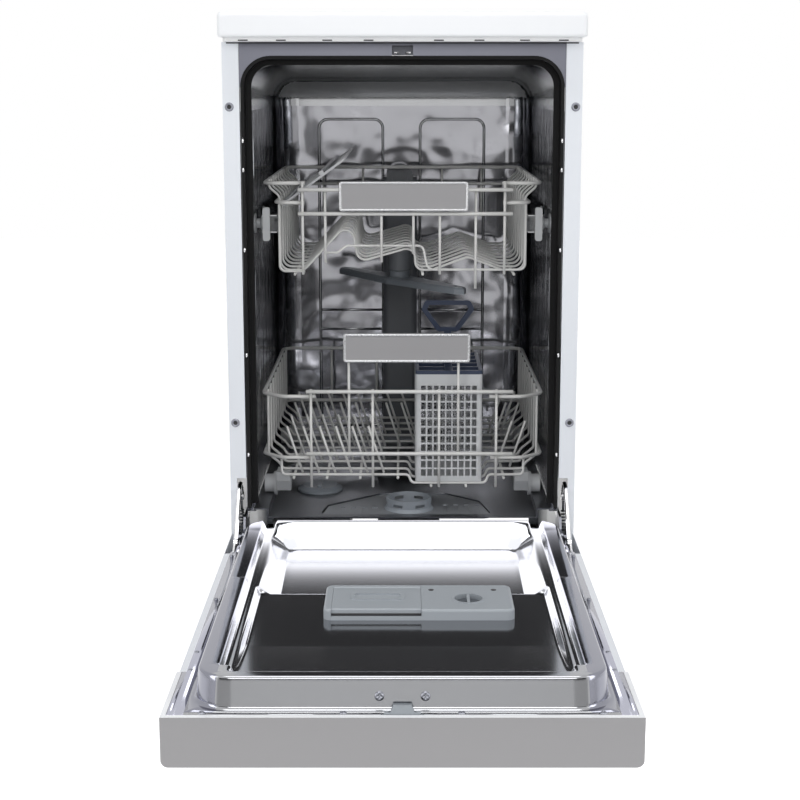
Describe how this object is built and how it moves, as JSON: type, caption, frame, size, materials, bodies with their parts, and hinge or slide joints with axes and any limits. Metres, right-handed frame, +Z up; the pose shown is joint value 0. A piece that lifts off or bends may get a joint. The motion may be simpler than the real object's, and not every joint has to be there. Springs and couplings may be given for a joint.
{
  "type": "slimline dishwasher",
  "caption": "Free-standing slim dishwasher with its door let down, two wire baskets on runners, spray arms, filters, sprung hinges and a control console.",
  "frame": {"origin": "on the floor at the centre of the box round the machine with its door open", "axes": "+X to the right as seen from the front, +Y from the door to the back, +Z up"},
  "size_m": [0.448, 1.175, 0.845],
  "materials": {
    "white_enamel": "smooth white enamel",
    "worktop_laminate": "white laminate on a board",
    "white_plastic": "moulded white plastic",
    "silver_plastic": "silver-grey moulded plastic",
    "stainless": "bright rolled stainless sheet",
    "zinc_steel": "plated sheet steel",
    "chromed_rod": "bright steel rod and plate",
    "black_rubber": "black seal rubber",
    "black_plastic": "black moulded plastic",
    "dark_grey_plastic": "dark grey moulded plastic",
    "grey_plastic": "mid grey moulded plastic",
    "light_grey_plastic": "light grey moulded plastic",
    "coated_wire": "grey nylon coat on steel wire",
    "navy_plastic": "dark blue moulded plastic",
    "circuit_board": "green circuit board"
  },
  "bodies": {
    "cabinet": {"worktop": "worktop_laminate", "worktop_frame": "white_plastic", "left_side_panel": "white_enamel", "right_side_panel": "white_enamel", "rear_panel": "zinc_steel", "base_tray": "black_plastic", "levelling_feet": "black_plastic", "plinth": "white_enamel", "front_band": "zinc_steel", "latch_catch": "chromed_rod", "tub_left_wall": "stainless", "tub_right_wall": "stainless", "tub_back_wall": "stainless", "tub_ceiling": "stainless", "tub_floor": "stainless", "door_gasket": "black_rubber", "flat_filter": "dark_grey_plastic", "sump": "black_plastic", "circulation_pump": "black_plastic", "drain_pump": "black_plastic", "water_softener": "white_plastic", "inlet_valve": "white_plastic", "riser_pipe": "dark_grey_plastic", "lower_spray_post": "dark_grey_plastic", "hinge_brackets": "zinc_steel"},
    "upper_rails": {"upper_rails": "stainless", "rail_end_clips": "light_grey_plastic"},
    "upper_basket": {"upper_basket_frame": "coated_wire", "upper_basket_wires": "coated_wire", "upper_basket_handle": "silver_plastic", "upper_basket_glides": "light_grey_plastic", "upper_spray_feed": "dark_grey_plastic"},
    "lower_basket": {"lower_basket_frame": "coated_wire", "lower_basket_wires": "coated_wire", "lower_basket_handle": "silver_plastic", "wheel_brackets": "light_grey_plastic", "cutlery_basket": "light_grey_plastic", "cutlery_lid": "navy_plastic"},
    "door": {"door_outer_panel": "white_enamel", "door_inner_liner": "stainless", "console_housing": "silver_plastic", "control_board": "circuit_board", "door_lock": "dark_grey_plastic", "hinge_arms": "chromed_rod", "dispenser_body": "grey_plastic"},
    "spring_carriage": {"door_springs": "zinc_steel"},
    "coarse_filter": {"coarse_filter": "grey_plastic"},
    "salt_cap": {"salt_cap": "grey_plastic"},
    "lower_spray_arm": {"lower_spray_arm": "dark_grey_plastic"},
    "front_wall_rollers": {"front_wall_rollers": "light_grey_plastic"},
    "rear_wall_rollers": {"rear_wall_rollers": "light_grey_plastic"},
    "cup_shelf": {"cup_shelf": "light_grey_plastic"},
    "upper_spray_arm": {"upper_spray_arm": "grey_plastic"},
    "front_wheels": {"front_wheels": "light_grey_plastic"},
    "rear_wheels": {"rear_wheels": "light_grey_plastic"},
    "detergent_lid": {"detergent_lid": "grey_plastic"},
    "rinse_aid_cap": {"rinse_aid_cap": "grey_plastic"},
    "power_button": {"power_button": "silver_plastic"},
    "program_button": {"program_button": "silver_plastic"},
    "start_button": {"start_button": "silver_plastic"}
  },
  "joints": [
    {"name": "door_hinge", "type": "hinge", "parent": "cabinet", "child": "door", "pos_m": [0, 0.0375, 0.182], "axis": [1, 0, 0], "range_deg": [-90, 0]},
    {"name": "spring_stretch", "type": "slide", "parent": "cabinet", "child": "spring_carriage", "axis": [0, 0, -1], "range_m": [0, 0.09], "deforming": ["door_springs"]},
    {"name": "detergent_lid_hinge", "type": "hinge", "parent": "door", "child": "detergent_lid", "pos_m": [-0.029, -0.2655, 0.21], "axis": [1, 0, 0], "range_deg": [-100, 0]},
    {"name": "rinse_cap_turn", "type": "hinge", "parent": "door", "child": "rinse_aid_cap", "pos_m": [0.0715, -0.3055, 0.2], "axis": [0, 0, 1], "range_deg": [0, 90]},
    {"name": "power_press", "type": "slide", "parent": "door", "child": "power_button", "axis": [0, 0, 1], "range_m": [0, 0.002], "stiffness_N_per_m": 300},
    {"name": "program_press", "type": "slide", "parent": "door", "child": "program_button", "axis": [0, 0, 1], "range_m": [0, 0.002], "stiffness_N_per_m": 300},
    {"name": "start_press", "type": "slide", "parent": "door", "child": "start_button", "axis": [0, 0, 1], "range_m": [0, 0.002], "stiffness_N_per_m": 300},
    {"name": "upper_slide", "type": "slide", "parent": "cabinet", "child": "upper_basket", "axis": [0, -1, 0], "range_m": [0, 0.34]},
    {"name": "rail_slide", "type": "slide", "parent": "cabinet", "child": "upper_rails", "axis": [0, -1, 0], "range_m": [0, 0.17]},
    {"name": "front_roller_turn", "type": "hinge", "parent": "cabinet", "child": "front_wall_rollers", "pos_m": [0, 0.1195, 0.582], "axis": [1, 0, 0], "range_deg": [0, 1010]},
    {"name": "rear_roller_turn", "type": "hinge", "parent": "cabinet", "child": "rear_wall_rollers", "pos_m": [0, 0.2495, 0.582], "axis": [1, 0, 0], "range_deg": [0, 1010]},
    {"name": "cup_shelf_hinge", "type": "hinge", "parent": "upper_basket", "child": "cup_shelf", "pos_m": [-0.1525, 0.2925, 0.608], "axis": [0, -1, 0], "range_deg": [0, 50]},
    {"name": "upper_spray_turn", "type": "hinge", "parent": "upper_basket", "child": "upper_spray_arm", "pos_m": [-0.004, 0.2905, 0.49], "axis": [0, 0, 1], "continuous": true},
    {"name": "lower_spray_turn", "type": "hinge", "parent": "cabinet", "child": "lower_spray_arm", "pos_m": [-0.02, 0.2875, 0.225], "axis": [0, 0, 1], "continuous": true},
    {"name": "coarse_filter_turn", "type": "hinge", "parent": "cabinet", "child": "coarse_filter", "pos_m": [0.0085, 0.1002, 0.21], "axis": [0, 0, 1], "range_deg": [0, 60]},
    {"name": "salt_cap_turn", "type": "hinge", "parent": "cabinet", "child": "salt_cap", "pos_m": [-0.114, 0.1935, 0.21], "axis": [0, 0, 1], "range_deg": [0, 540]},
    {"name": "lower_slide", "type": "slide", "parent": "cabinet", "child": "lower_basket", "axis": [0, -1, 0], "range_m": [0, 0.36]},
    {"name": "front_wheel_turn", "type": "hinge", "parent": "lower_basket", "child": "front_wheels", "pos_m": [0, 0.1375, 0.2307], "axis": [1, 0, 0], "range_deg": [0, 1700]},
    {"name": "rear_wheel_turn", "type": "hinge", "parent": "lower_basket", "child": "rear_wheels", "pos_m": [0, 0.4375, 0.2307], "axis": [1, 0, 0], "range_deg": [0, 1700]}
  ],
  "couplings": [
    {"joint": "spring_stretch", "follows": "door_hinge", "m_per_rad": -0.057296},
    {"joint": "rail_slide", "follows": "upper_slide", "ratio": 0.5},
    {"joint": "front_roller_turn", "follows": "upper_slide", "rad_per_m": 51.546},
    {"joint": "rear_roller_turn", "follows": "upper_slide", "rad_per_m": 51.546},
    {"joint": "front_wheel_turn", "follows": "lower_slide", "rad_per_m": 81.967},
    {"joint": "rear_wheel_turn", "follows": "lower_slide", "rad_per_m": 81.967}
  ]
}
